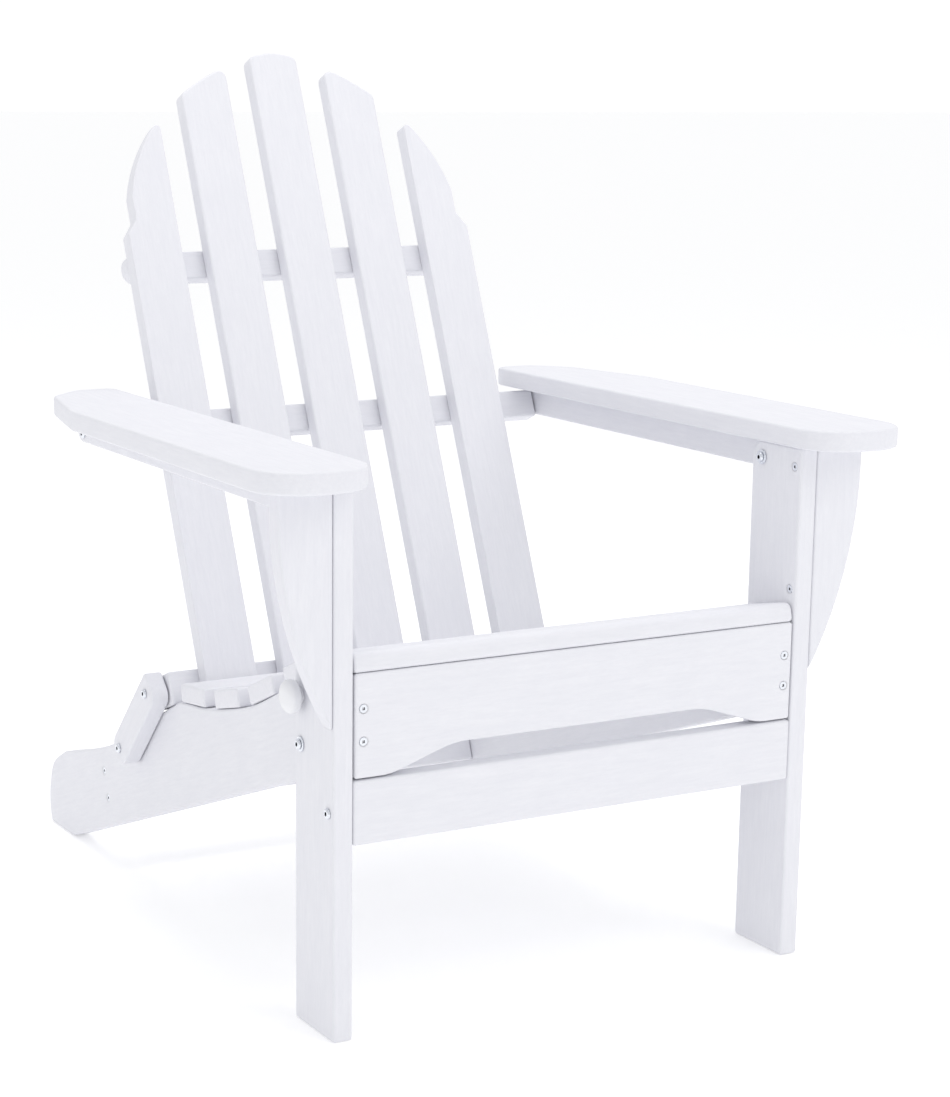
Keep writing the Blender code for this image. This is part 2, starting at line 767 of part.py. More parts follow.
def back_frame():
    for index in range(BACK_SLATS):
        back_slat(index)
    edge = (BACK_SLATS - 1) / 2 * BACK_PITCH + SLAT_WIDTH / 2
    low = UPPER_BRACE_CENTRE - BATTEN / 2
    ends = [(-edge, low), (edge, low), (edge, low + BATTEN), (-edge, low + BATTEN)]
    outline = rounded([(x, t, UPPER_BRACE_ROUNDING) for x, t in ends])
    front_face = slat_rear + FIT
    board("upper_back_brace", outline, front_face, front_face + BOARD, back, "y")

    end = under_rail_inner - PIVOT_GAP
    brace = board("mid_back_brace", brace_corners(-BATTEN / 2, BOARD, BATTEN), -end, end, back)
    for sign in (-1, 1):
        low, high = sorted((sign * (end + OVERCUT), sign * (end - BOLT_BITE - OVERCUT)))
        drill(brace, (0.0, 0.0), low, high)

    outline = brace_corners(brace_foot, LOWER_BRACE, LOWER_BRACE)
    board("lower_back_brace", outline, -seat_half, seat_half, back)


def links():
    half = LINK_WIDTH / 2
    for side, sign in (("right", -1), ("left", 1)):
        parent = pivot_empty(f"link_{side}_pivot", link_pivot, link_lean)
        corners = [
            (-half, -half, half),
            (half, -half, half),
            (half, link_length + LINK_TOP, LINK_FRONT_RADIUS),
            (-half, link_length + LINK_TOP, LINK_REAR_RADIUS),
        ]
        low, high = sorted((sign * leg_inner, sign * leg_outer))
        link = board(f"link_{side}", rounded(corners), low, high, parent)
        for hole in ((0.0, 0.0), (0.0, link_length)):
            drill(link, hole, low - OVERCUT, high + OVERCUT)
        head = sign * (leg_outer + FIT)
        tip = sign * (rail_inner - FIT - NUT_HEIGHT - BOLT_TAIL)
        bolt(f"link_foot_bolt_{side}", parent, head, tip, sign)
        tip = sign * (leg_inner + FIT)
        bolt(f"link_top_bolt_{side}", parent, head, tip, sign, (0.0, link_length))


front_frame()
seat_frame()
arm_frame()
back_frame()
links()
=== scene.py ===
"""The folding slatted garden armchair, finished in white plastic lumber with stainless fasteners."""
import math

import bmesh
import bpy
from mathutils import Matrix, Vector


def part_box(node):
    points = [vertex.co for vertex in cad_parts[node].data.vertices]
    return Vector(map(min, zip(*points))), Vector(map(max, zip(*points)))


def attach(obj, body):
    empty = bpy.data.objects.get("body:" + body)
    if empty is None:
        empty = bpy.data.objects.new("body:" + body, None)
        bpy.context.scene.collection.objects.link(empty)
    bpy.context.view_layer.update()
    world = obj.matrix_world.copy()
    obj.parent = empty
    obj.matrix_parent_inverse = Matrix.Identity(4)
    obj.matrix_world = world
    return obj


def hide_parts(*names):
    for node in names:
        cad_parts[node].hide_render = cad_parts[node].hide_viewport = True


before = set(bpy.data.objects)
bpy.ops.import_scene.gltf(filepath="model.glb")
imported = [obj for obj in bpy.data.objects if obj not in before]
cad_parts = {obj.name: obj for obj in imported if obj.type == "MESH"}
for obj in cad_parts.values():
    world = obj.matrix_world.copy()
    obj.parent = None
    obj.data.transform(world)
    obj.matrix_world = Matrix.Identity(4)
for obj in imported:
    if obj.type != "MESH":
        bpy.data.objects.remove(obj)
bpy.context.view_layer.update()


# ---- White lumber ----------------------------------------------------------------------------------
# Every board is sawn from extruded recycled-plastic lumber, white all through. Its skin keeps faint
# drawn streaks along the board and a soft mottle. Its eased edges are rubbed a little smoother, and
# they carry a painted highlight that makes them paler.

LUMBER_WHITE = (0.82, 0.822, 0.86, 1)
LUMBER_STREAK = (0.765, 0.768, 0.813, 1)
# A paler white for the painted highlight along the eased edges.
LUMBER_PAINTED_HIGHLIGHT = (0.845, 0.848, 0.88, 1)
LUMBER_ROUGHNESS = 0.5
DULL_STREAKS = 0.12
LUMBER_GLOSS = 0.35
GRAIN_DEPTH = 0.0004
MOTTLE_SHARE = 0.35
STREAK_STRETCH = (26, 240, 240)
SCUFF_STRETCH = (120, 520, 520)
PEBBLE_FINENESS = 620
PEBBLE_SHARE = 0.35
MOTTLE_FINENESS = 22
EDGE_REACH = 0.003
EDGE_SAMPLES = 4
EDGE_SHARPNESS = 5.0
EDGE_HIGHLIGHT_SHARE = 0.5
EDGE_SHINE = 0.1


def node_group(name, inputs, outputs):
    """A shader node group with nothing but its sockets, each a (name, Float or Vector)."""
    group = bpy.data.node_groups.new(name, "ShaderNodeTree")
    for socket, kind in inputs:
        group.interface.new_socket(socket, in_out="INPUT", socket_type=f"NodeSocket{kind}")
    for socket, kind in outputs:
        group.interface.new_socket(socket, in_out="OUTPUT", socket_type=f"NodeSocket{kind}")
    return group, group.nodes.new("NodeGroupInput"), group.nodes.new("NodeGroupOutput")


def arithmetic(tree, operation, first, second):
    """A Math node fed by two sockets or numbers. Returns its result."""
    made = tree.nodes.new("ShaderNodeMath")
    made.operation = operation
    for place, value in enumerate((first, second)):
        if isinstance(value, (int, float)):
            made.inputs[place].default_value = value
        else:
            tree.links.new(value, made.inputs[place])
    return made.outputs[0]


def noise(tree, vector, fineness, detail):
    """A Noise texture on a vector. Returns its grey value."""
    made = tree.nodes.new("ShaderNodeTexNoise")
    made.inputs["Scale"].default_value = fineness
    made.inputs["Detail"].default_value = detail
    made.inputs["Roughness"].default_value = 0.55
    tree.links.new(vector, made.inputs["Vector"])
    return made.outputs["Fac"]


def drawn_grain_group():
    """Streaks drawn out along x, with short scuffs among them and a fine pebble over all."""
    group, given, result = node_group(
        "drawn_grain",
        [("Vector", "Vector"), ("Scuffs", "Float")],
        [("Streaks", "Float"), ("Height", "Float"), ("Mottle", "Float")],
    )
    stretch = group.nodes.new("ShaderNodeMapping")
    stretch.inputs["Scale"].default_value = STREAK_STRETCH
    group.links.new(given.outputs["Vector"], stretch.inputs["Vector"])
    short = group.nodes.new("ShaderNodeMapping")
    short.inputs["Scale"].default_value = SCUFF_STRETCH
    group.links.new(given.outputs["Vector"], short.inputs["Vector"])
    long_streaks = noise(group, stretch.outputs[0], 1, 5)
    short_streaks = noise(group, short.outputs[0], 1, 3)
    pebble = noise(group, given.outputs["Vector"], PEBBLE_FINENESS, 2)
    mottle = noise(group, given.outputs["Vector"], MOTTLE_FINENESS, 3)
    scuffed = arithmetic(group, "MULTIPLY", short_streaks, given.outputs["Scuffs"])
    streaks = arithmetic(group, "ADD", long_streaks, scuffed)
    fine = arithmetic(group, "MULTIPLY", pebble, PEBBLE_SHARE)
    height = arithmetic(group, "ADD", streaks, fine)
    group.links.new(streaks, result.inputs["Streaks"])
    group.links.new(height, result.inputs["Height"])
    group.links.new(mottle, result.inputs["Mottle"])
    return group


def edge_highlight_and_rub_group():
    """A mask that is 1 along edges, from how far a rounded normal turns off the true one."""
    group, given, result = node_group("edge_highlight_and_rub", [("Reach", "Float")], [("Edge", "Float")])
    # The mask places a painted highlight (paler colour) and a smoother rub along the edges.
    rounded = group.nodes.new("ShaderNodeBevel")
    rounded.samples = EDGE_SAMPLES
    group.links.new(given.outputs["Reach"], rounded.inputs["Radius"])
    surface = group.nodes.new("ShaderNodeNewGeometry")
    agreement = group.nodes.new("ShaderNodeVectorMath")
    agreement.operation = "DOT_PRODUCT"
    group.links.new(rounded.outputs[0], agreement.inputs[0])
    group.links.new(surface.outputs["True Normal"], agreement.inputs[1])
    turned_off = arithmetic(group, "SUBTRACT", 1.0, agreement.outputs["Value"])
    ramp = arithmetic(group, "MULTIPLY", turned_off, EDGE_SHARPNESS)
    group.links.new(arithmetic(group, "MINIMUM", ramp, 1.0), result.inputs["Edge"])
    return group


DRAWN_GRAIN = drawn_grain_group()
EDGE_HIGHLIGHT_AND_RUB = edge_highlight_and_rub_group()


def blend_colours(tree, factor, first, second):
    """A mix of two colours or colour sockets by a grey socket. A Mix node keeps its colours in sockets
    6 and 7, and puts the mixed one out at 2."""
    made = tree.nodes.new("ShaderNodeMix")
    made.data_type = "RGBA"
    tree.links.new(factor, made.inputs["Factor"])
    for socket, value in ((6, first), (7, second)):
        if isinstance(value, tuple):
            made.inputs[socket].default_value = value
        else:
            tree.links.new(value, made.inputs[socket])
    return made.outputs[2]


def spread(tree, value, low, high, to_low, to_high):
    """Maps a grey value from one range to another, clamped."""
    made = tree.nodes.new("ShaderNodeMapRange")
    made.inputs["From Min"].default_value = low
    made.inputs["From Max"].default_value = high
    made.inputs["To Min"].default_value = to_low
    made.inputs["To Max"].default_value = to_high
    tree.links.new(value, made.inputs["Value"])
    return made.outputs[0]


def blank_material(name):
    """A new material with its node tree and its shader."""
    made = bpy.data.materials.new(name)
    made.use_nodes = True
    return made, made.node_tree, made.node_tree.nodes["Principled BSDF"]


def raise_skin(tree, shader, height, strength, depth):
    """Bumps a material's surface by a grey height."""
    bump = tree.nodes.new("ShaderNodeBump")
    bump.inputs["Strength"].default_value = strength
    bump.inputs["Distance"].default_value = depth
    tree.links.new(height, bump.inputs["Height"])
    tree.links.new(bump.outputs[0], shader.inputs["Normal"])


def lumber_material(name, scuffs, relief):
    """White lumber whose grain runs along the board."""
    made, tree, shader = blank_material(name)
    shader.inputs["IOR"].default_value = 1.5
    shader.inputs["Specular IOR Level"].default_value = LUMBER_GLOSS
    lengthwise = tree.nodes.new("ShaderNodeAttribute")
    lengthwise.attribute_name = "grain"
    grain = tree.nodes.new("ShaderNodeGroup")
    grain.node_tree = DRAWN_GRAIN
    grain.inputs["Scuffs"].default_value = scuffs
    tree.links.new(lengthwise.outputs["Vector"], grain.inputs["Vector"])
    edge = tree.nodes.new("ShaderNodeGroup")
    edge.node_tree = EDGE_HIGHLIGHT_AND_RUB
    edge.inputs["Reach"].default_value = EDGE_REACH
    streaks = spread(tree, grain.outputs["Streaks"], 0.45, 1.05, 0.0, 1.0)
    mottle = spread(tree, grain.outputs["Mottle"], 0.35, 0.65, 0.0, MOTTLE_SHARE)
    body = blend_colours(tree, streaks, LUMBER_STREAK, LUMBER_WHITE)
    body = blend_colours(tree, mottle, body, LUMBER_STREAK)
    # A painted highlight: the eased edges are blended towards a paler white.
    painted_highlight = arithmetic(tree, "MULTIPLY", edge.outputs["Edge"], EDGE_HIGHLIGHT_SHARE)
    body = blend_colours(tree, painted_highlight, body, LUMBER_PAINTED_HIGHLIGHT)
    tree.links.new(body, shader.inputs["Base Color"])
    dullest = LUMBER_ROUGHNESS + DULL_STREAKS
    dull = spread(tree, grain.outputs["Streaks"], 0.4, 1.1, dullest, LUMBER_ROUGHNESS)
    smoother = arithmetic(tree, "MULTIPLY", edge.outputs["Edge"], EDGE_SHINE)
    tree.links.new(arithmetic(tree, "SUBTRACT", dull, smoother), shader.inputs["Roughness"])
    raise_skin(tree, shader, grain.outputs["Height"], relief, GRAIN_DEPTH)
    return made


BOARD_LUMBER = lumber_material("white_board_lumber", scuffs=0.5, relief=0.32)
SEAT_LUMBER = lumber_material("white_seat_lumber", scuffs=0.6, relief=0.4)


def along(direction):
    """A turn whose x axis lies along a board, so that the board's grain does."""
    x = Vector(direction).normalized()
    y = Vector((0, 0, 1)).cross(x)
    if y.length < 0.1:
        y = Vector((0, 1, 0)).cross(x)
    y.normalize()
    return Matrix((x, y, x.cross(y))).transposed().to_4x4()


PIT_SIDES = 32
PIT_FLOOR_RADIUS = 0.0046
PIT_MOUTH_RADIUS = 0.0056
PIT_CUTTER_LENGTH = 0.0024
PIT_CUTTER_SINK = 0.0006
WELD_REACH = 0.00001
FLAT_ANGLE = math.radians(0.2)
BOARD_SHARP_ANGLE = math.radians(50)
SOFT_EDGE_WEIGHT = 100


def shown(name, mesh):
    """An object with this mesh, in the scene."""
    piece = bpy.data.objects.new(name, mesh)
    bpy.context.scene.collection.objects.link(piece)
    return piece


def join_pits(pits):
    """One mesh of shallow tapered pits, each at a (point, outward direction)."""
    mesh = bpy.data.meshes.new("screw_pits")
    shape = bmesh.new()
    for point, outward in pits:
        turn = Vector(outward).to_track_quat("Z", "Y").to_matrix().to_4x4()
        sunk = Vector(point) - Vector(outward) * PIT_CUTTER_SINK
        bmesh.ops.create_cone(
            shape,
            cap_ends=True,
            segments=PIT_SIDES,
            radius1=PIT_FLOOR_RADIUS,
            radius2=PIT_MOUTH_RADIUS,
            depth=PIT_CUTTER_LENGTH,
            matrix=Matrix.Translation(sunk) @ turn,
        )
    shape.to_mesh(mesh)
    shape.free()
    return mesh


def board(node, body, grain, material, pits=()):
    """Takes a board's place: the sawn shape with soft normals round its edges, its grain along it, and
    a pit for each screw that is sunk in it."""
    shape = bmesh.new()
    shape.from_mesh(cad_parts[node].data)
    bmesh.ops.remove_doubles(shape, verts=shape.verts, dist=WELD_REACH)
    bmesh.ops.dissolve_limit(
        shape, angle_limit=FLAT_ANGLE, verts=shape.verts, edges=shape.edges
    )
    mesh = bpy.data.meshes.new(f"{node}_board")
    shape.to_mesh(mesh)
    shape.free()
    piece = shown(f"{node}_board", mesh)
    if pits:
        cutter = shown(f"{node}_pits", join_pits(pits))
        cut = piece.modifiers.new("pits", "BOOLEAN")
        cut.operation = "DIFFERENCE"
        cut.object = cutter
        graph = bpy.context.evaluated_depsgraph_get()
        mesh = bpy.data.meshes.new_from_object(piece.evaluated_get(graph))
        piece.modifiers.clear()
        piece.data = mesh
        bpy.data.objects.remove(cutter)
    lengthwise = along(grain).inverted()
    turned = [number for vertex in mesh.vertices for number in lengthwise @ vertex.co]
    places = mesh.attributes.new("grain", "FLOAT_VECTOR", "POINT")
    places.data.foreach_set("vector", turned)
    mesh.shade_smooth()
    mesh.set_sharp_from_angle(angle=BOARD_SHARP_ANGLE)
    soft = piece.modifiers.new("soft_edges", "WEIGHTED_NORMAL")
    soft.keep_sharp = True
    soft.weight = SOFT_EDGE_WEIGHT
    mesh.materials.clear()
    mesh.materials.append(material)
    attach(piece, body)
    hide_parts(node)


# ---- Wood screws -----------------------------------------------------------------------------------
# Stainless countersunk screws with a square drive hold the boards together. Each head sits a little
# below the plastic in a pit that the countersink left. The drive recess is painted near black as
# painted shade.

STEEL_LIGHT = (0.88, 0.90, 0.94, 1)
STEEL_DARK = (0.66, 0.69, 0.75, 1)
# The drive recesses are painted near black: painted shade in the hollow of each drive.
PAINTED_RECESS_SHADE_LIGHT = (0.12, 0.12, 0.14, 1)
PAINTED_RECESS_SHADE_DARK = (0.03, 0.03, 0.04, 1)
BRUSH_STRENGTH = 0.25
BRUSH_DEPTH = 0.0001
STAIN_FINENESS = 420


def steel_material(name, roughness, stretch, dark, light):
    """Brushed stainless steel, with fine lines turned round the fastener's own x axis."""
    made, tree, shader = blank_material(name)
    shader.inputs["Metallic"].default_value = 1.0
    place = tree.nodes.new("ShaderNodeTexCoord")
    lines = tree.nodes.new("ShaderNodeMapping")
    lines.inputs["Scale"].default_value = stretch
    tree.links.new(place.outputs["Object"], lines.inputs["Vector"])
    brushed = noise(tree, lines.outputs[0], 1, 4)
    stain = noise(tree, place.outputs["Object"], STAIN_FINENESS, 3)
    shade = spread(tree, brushed, 0.3, 0.7, 0.0, 1.0)
    tone = blend_colours(tree, shade, dark, light)
    tree.links.new(tone, shader.inputs["Base Color"])
    rough = spread(tree, stain, 0.3, 0.7, roughness - 0.06, roughness + 0.1)
    tree.links.new(rough, shader.inputs["Roughness"])
    raise_skin(tree, shader, brushed, BRUSH_STRENGTH, BRUSH_DEPTH)
    return made


SCREW_STEEL = steel_material("screw_steel", 0.3, (2600, 700, 700), STEEL_DARK, STEEL_LIGHT)
BOLT_STEEL = steel_material("bolt_steel", 0.26, (2600, 500, 500), STEEL_DARK, STEEL_LIGHT)
# Near-black steel for drive recesses and sockets, which paints shade into the hollow.
RECESS_SHADE_STEEL = steel_material("drive_recess_painted_shade", 0.6, (900, 900, 900), PAINTED_RECESS_SHADE_DARK, PAINTED_RECESS_SHADE_LIGHT)

RING_STEPS = 48
TURNED_SHARP_ANGLE = math.radians(35)

# From the point to the drive, as (distance out of the board, radius, sides). 0 sides is a circle.
SCREW_RINGS = (
    (-0.0060, 0.0012, 0),
    (-0.0045, 0.0016, 0),
    (-0.0016, 0.0043, 0),
    (-0.0008, 0.0044, 0),
    (-0.0005, 0.0042, 0),
    (-0.0004, 0.0028, 0),
    (-0.0005, 0.0014, 4),
    (-0.0022, 0.0012, 4),
    (-0.0026, 0.0002, 4),
)
SCREW_DRIVE_RING = 6


def ring_of(shape, x, radius, sides):
    """A ring of points about the x axis: a circle, or with sides a polygon whose flats are radius away
    from the axis."""
    points = []
    for step in range(RING_STEPS):
        angle = 2 * math.pi * step / RING_STEPS
        reach = radius
        if sides:
            sector = 2 * math.pi / sides
            reach = radius / math.cos((angle + sector / 2) % sector - sector / 2)
        points.append(shape.verts.new((x, reach * math.cos(angle), reach * math.sin(angle))))
    return points


def turned_piece(name, rings, recess=None):
    """A closed piece about its own x axis from (x, radius, sides) rings, capped at both ends. Its faces
    from the ring numbered recess on are a drive recess and take the second material."""
    shape = bmesh.new()
    loops = [ring_of(shape, x, radius, sides) for x, radius, sides in rings]
    for number, (first, second) in enumerate(zip(loops, loops[1:])):
        for step in range(len(first)):
            after = (step + 1) % len(first)
            face = shape.faces.new((first[step], first[after], second[after], second[step]))
            face.material_index = int(recess is not None and number >= recess)
    shape.faces.new(loops[0])
    shape.faces.new(loops[-1]).material_index = int(recess is not None)
    bmesh.ops.recalc_face_normals(shape, faces=shape.faces)
    mesh = bpy.data.meshes.new(name)
    shape.to_mesh(mesh)
    shape.free()
    mesh.shade_smooth()
    mesh.set_sharp_from_angle(angle=TURNED_SHARP_ANGLE)
    return shown(name, mesh)


def wood_screws(name, body, places):
    """One piece of sunk screws, each at a (point, outward direction)."""
    heads = []
    for point, outward in places:
        head = turned_piece(f"{name}_head", SCREW_RINGS, SCREW_DRIVE_RING)
        turn = Vector(outward).to_track_quat("X", "Z").to_matrix().to_4x4()
        head.data.transform(Matrix.Translation(point) @ turn)
        heads.append(head)
    joined = bmesh.new()
    for head in heads:
        joined.from_mesh(head.data)
        bpy.data.objects.remove(head)
    mesh = bpy.data.meshes.new(name)
    joined.to_mesh(mesh)
    joined.free()
    mesh.shade_smooth()
    mesh.set_sharp_from_angle(angle=TURNED_SHARP_ANGLE)
    mesh.materials.append(SCREW_STEEL)
    mesh.materials.append(RECESS_SHADE_STEEL)
    piece = shown(name, mesh)
    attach(piece, body)


# ---- Front legs, corbels and stretcher -------------------------------------------------------------
# Two flat legs carry the arms on their tops. A curved corbel stands out from each leg under the arm,
# held by two screws through the leg, and a stretcher ties the legs together low down.

SIDES = (("left", 1), ("right", -1))
CORBEL_SCREW_HEIGHTS = (0.408, 0.539)

for side, sign in SIDES:
    leg_low, leg_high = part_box(f"leg_{side}")
    corbel_low, corbel_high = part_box(f"corbel_{side}")
    inner_face = leg_low.x if sign > 0 else leg_high.x
    depth = (corbel_low.y + corbel_high.y) / 2
    screws = [
        (Vector((inner_face, depth, height)), Vector((-sign, 0, 0)))
        for height in CORBEL_SCREW_HEIGHTS
    ]
    board(f"leg_{side}", "front_frame", (0, 0, 1), BOARD_LUMBER, screws)
    board(f"corbel_{side}", "front_frame", (0, 0, 1), BOARD_LUMBER)
    wood_screws(f"corbel_screws_{side}", "front_frame", screws)
board("stretcher", "front_frame", (1, 0, 0), BOARD_LUMBER)


# ---- Seat rails, apron and rear cross brace --------------------------------------------------------
# The seat hangs on two long rails cut to the curve of the seat. An arched apron is screwed to their
# front ends, and a cross brace near their feet keeps them apart.

APRON_SCREW_INSET = 0.0095
APRON_SCREW_HEIGHTS = (0.0373, 0.0703)
RAIL_FALL = math.radians(20.2)
BRACE_SCREW_SPREAD = 0.0167

apron_low, apron_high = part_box("apron")
apron_screws = []
for _, sign in SIDES:
    across = sign * (apron_high.x - APRON_SCREW_INSET)
    for height in APRON_SCREW_HEIGHTS:
        point = Vector((across, apron_low.y, apron_low.z + height))
        apron_screws.append((point, Vector((0, -1, 0))))
board("apron", "seat", (1, 0, 0), SEAT_LUMBER, apron_screws)
wood_screws("apron_screws", "seat", apron_screws)

brace_low, brace_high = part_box("rear_cross_brace")
brace_centre = (brace_low + brace_high) / 2
brace_up = Vector((0, math.sin(RAIL_FALL), math.cos(RAIL_FALL)))
for side, sign in SIDES:
    rail_low, rail_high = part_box(f"seat_rail_{side}")
    outer_face = rail_high.x if sign > 0 else rail_low.x
    brace_end = Vector((outer_face, brace_centre.y, brace_centre.z))
    screws = [
        (brace_end + brace_up * step * BRACE_SCREW_SPREAD, Vector((sign, 0, 0)))
        for step in (-1, 1)
    ]
    grain = (0, math.cos(RAIL_FALL), -math.sin(RAIL_FALL))
    board(f"seat_rail_{side}", "seat", grain, BOARD_LUMBER, screws)
    wood_screws(f"cross_brace_screws_{side}", "seat", screws)
board("rear_cross_brace", "seat", (1, 0, 0), BOARD_LUMBER)


# ---- Seat slats ------------------------------------------------------------------------------------
# A front slat with a rounded nose and four plain ones, all of the same white lumber, lie across the
# rails. They are fixed from below, so their tops are clean.

for place in ("front", 1, 2, 3, 4):
    board(f"seat_slat_{place}", "seat", (1, 0, 0), SEAT_LUMBER)


# ---- Arms ------------------------------------------------------------------------------------------
# Each arm is one wide lumber board that lies on top of the leg. A batten on edge runs under it outside
# the leg, and three screws spaced along the batten go up through it into the arm.

SHARES_OF_BATTEN = (0.12, 0.5, 0.88)

for side, sign in SIDES:
    low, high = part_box(f"arm_rail_{side}")
    middle = (low.x + high.x) / 2
    screws = [
        (Vector((middle, low.y + (high.y - low.y) * share, low.z)), Vector((0, 0, -1)))
        for share in SHARES_OF_BATTEN
    ]
    board(f"arm_{side}", "arms", (0, 1, 0), BOARD_LUMBER)
    board(f"arm_rail_{side}", "arms", (0, 1, 0), BOARD_LUMBER, screws)
    wood_screws(f"arm_rail_screws_{side}", "arms", screws)


# ---- Back ------------------------------------------------------------------------------------------
# Five slats stand in a fan under a crowned top. Three braces cross behind them, and two screws go
# through each crossing from behind, so that the sitter meets none.

BACK_LEAN = math.radians(23)
back_up = Vector((0, math.sin(BACK_LEAN), math.cos(BACK_LEAN)))
back_out = Vector((0, math.cos(BACK_LEAN), -math.sin(BACK_LEAN)))
SCREW_ACROSS = 0.014
SCREW_UP = 0.008
SLAT_FOOT = 0.1


def rear_face_centre(node):
    """The middle of a leaning brace's rear face, from the vertices of its sawn shape."""
    points = [vertex.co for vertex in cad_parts[node].data.vertices]
    ups = [point.dot(back_up) for point in points]
    outs = [point.dot(back_out) for point in points]
    middle_up = (min(ups) + max(ups)) / 2
    return back_up * middle_up + back_out * max(outs)


slat_centres = []
for number in range(1, 6):
    slat = f"back_slat_{number}"
    foot_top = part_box(slat)[0].z + SLAT_FOOT
    corners = [vertex.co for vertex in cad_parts[slat].data.vertices]
    foot = [corner.x for corner in corners if corner.z < foot_top]
    slat_centres.append((min(foot) + max(foot)) / 2)
    board(slat, "back", back_up, BOARD_LUMBER)
for brace in ("upper_back_brace", "mid_back_brace", "lower_back_brace"):
    centre = rear_face_centre(brace)
    screws = []
    for x in slat_centres:
        for step in (-1, 1):
            point = centre + Vector((x + step * SCREW_ACROSS, 0, 0)) + back_up * step * SCREW_UP
            screws.append((point, back_out))
    board(brace, "back", (1, 0, 0), BOARD_LUMBER, screws)
    wood_screws(f"{brace}_screws", "back", screws)


# ---- Links -----------------------------------------------------------------------------------------
# A short lumber link on each side, bolted at both ends, joins the seat rail to the end of the lower
# back brace. It swings down as the chair folds.

for side, _ in SIDES:
    foot_low, foot_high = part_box(f"link_foot_bolt_{side}")
    top_low, top_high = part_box(f"link_top_bolt_{side}")
    grain = (top_low + top_high) / 2 - (foot_low + foot_high) / 2
    board(f"link_{side}", f"link_{side}", (0, grain.y, grain.z), BOARD_LUMBER)


# ---- Stop knobs ------------------------------------------------------------------------------------
# A moulded mushroom knob is screwed to the outer face of each leg above the pivot of the seat rail.
# It is smooth injection-moulded plastic with a faint orange-peel skin.

KNOB_WHITE = (0.84, 0.845, 0.87, 1)
KNOB_CLOUD = (0.80, 0.805, 0.83, 1)
KNOB_GLOSS = 0.15
KNOB_STEM = 0.008
KNOB_NECK = 0.006
KNOB_SKIRT = 0.006
KNOB_CORNER = 0.002
KNOB_EASE = 0.0008
KNOB_CORNER_INSET = 0.0006
KNOB_FLATNESS = 0.35
KNOB_CROWN_STEPS = 12
KNOB_TIP = 0.02
PEEL_FINENESS = 700
PEEL_STRENGTH = 0.2
PEEL_DEPTH = 0.0002
CLOUD_FINENESS = 60


def knob_material():
    """Smooth moulded plastic with a thin gloss."""
    made, tree, shader = blank_material("white_knob_plastic")
    shader.inputs["Coat Weight"].default_value = KNOB_GLOSS
    shader.inputs["Coat Roughness"].default_value = 0.25
    place = tree.nodes.new("ShaderNodeTexCoord")
    peel = noise(tree, place.outputs["Object"], PEEL_FINENESS, 2)
    cloud = noise(tree, place.outputs["Object"], CLOUD_FINENESS, 2)
    tone = blend_colours(tree, cloud, KNOB_CLOUD, KNOB_WHITE)
    tree.links.new(tone, shader.inputs["Base Color"])
    tree.links.new(spread(tree, peel, 0.3, 0.7, 0.34, 0.46), shader.inputs["Roughness"])
    raise_skin(tree, shader, peel, PEEL_STRENGTH, PEEL_DEPTH)
    return made


KNOB_PLASTIC = knob_material()

for side, sign in SIDES:
    low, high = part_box(f"stop_knob_{side}")
    length = high.x - low.x
    radius = (high.z - low.z) / 2
    rings = [
        (0, KNOB_STEM, 0),
        (KNOB_NECK - KNOB_EASE, KNOB_STEM, 0),
        (KNOB_NECK, KNOB_STEM + KNOB_EASE, 0),
        (KNOB_NECK, radius - KNOB_CORNER, 0),
        (KNOB_NECK + KNOB_EASE, radius - KNOB_CORNER_INSET, 0),
        (KNOB_NECK + KNOB_CORNER, radius, 0),
    ]
    crown = KNOB_NECK + KNOB_SKIRT
    for step in range(KNOB_CROWN_STEPS + 1):
        angle = math.pi / 2 * step / KNOB_CROWN_STEPS
        bulge = KNOB_FLATNESS + (1 - KNOB_FLATNESS) * math.cos(angle)
        reach = radius * (bulge if step < KNOB_CROWN_STEPS else KNOB_TIP)
        rings.append((crown + (length - crown) * math.sin(angle), reach, 0))
    knob = turned_piece(f"stop_knob_{side}_moulding", rings)
    knob.data.materials.append(KNOB_PLASTIC)
    knob.location = (low.x if sign > 0 else high.x, (low.y + high.y) / 2, (low.z + high.z) / 2)
    knob.rotation_euler.z = 0 if sign > 0 else math.pi
    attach(knob, "front_frame")
    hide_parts(f"stop_knob_{side}")


# ---- Pivot and stretcher bolts ---------------------------------------------------------------------
# Stainless button-head bolts with a hexagon socket are the pivots of the fold. They are the same bolt
# at every joint, and two long ones hold the stretcher.

SHANK = 0.003
HEAD_HEIGHT = 0.003
SOCKET = 0.002
SOCKET_DEPTH = 0.002
SOCKET_TIP = 0.0006
SOCKET_TAPER = 0.96
SOCKET_POINT = 0.1
SOCKET_LIP = 0.0003
SHANK_CHAMFER = 0.0006
HEAD_CHAMFER = 0.0004
BUTTON_FLATNESS = 0.42
BUTTON_TOP = 0.5
BUTTON_STEPS = 8
BUTTON_FROM = 8
BUTTON_TO = 60

# The body that each bolt rides on, or None for its own link, and the way that its head faces: 1 is out.
BOLT_HOMES = {
    "rail_bolt": ("front_frame", 1),
    "arm_bolt": ("front_frame", -1),
    "stretcher_bolt": ("front_frame", 1),
    "back_bolt": ("arms", 1),
    "link_foot_bolt": (None, 1),
    "link_top_bolt": (None, 1),
}


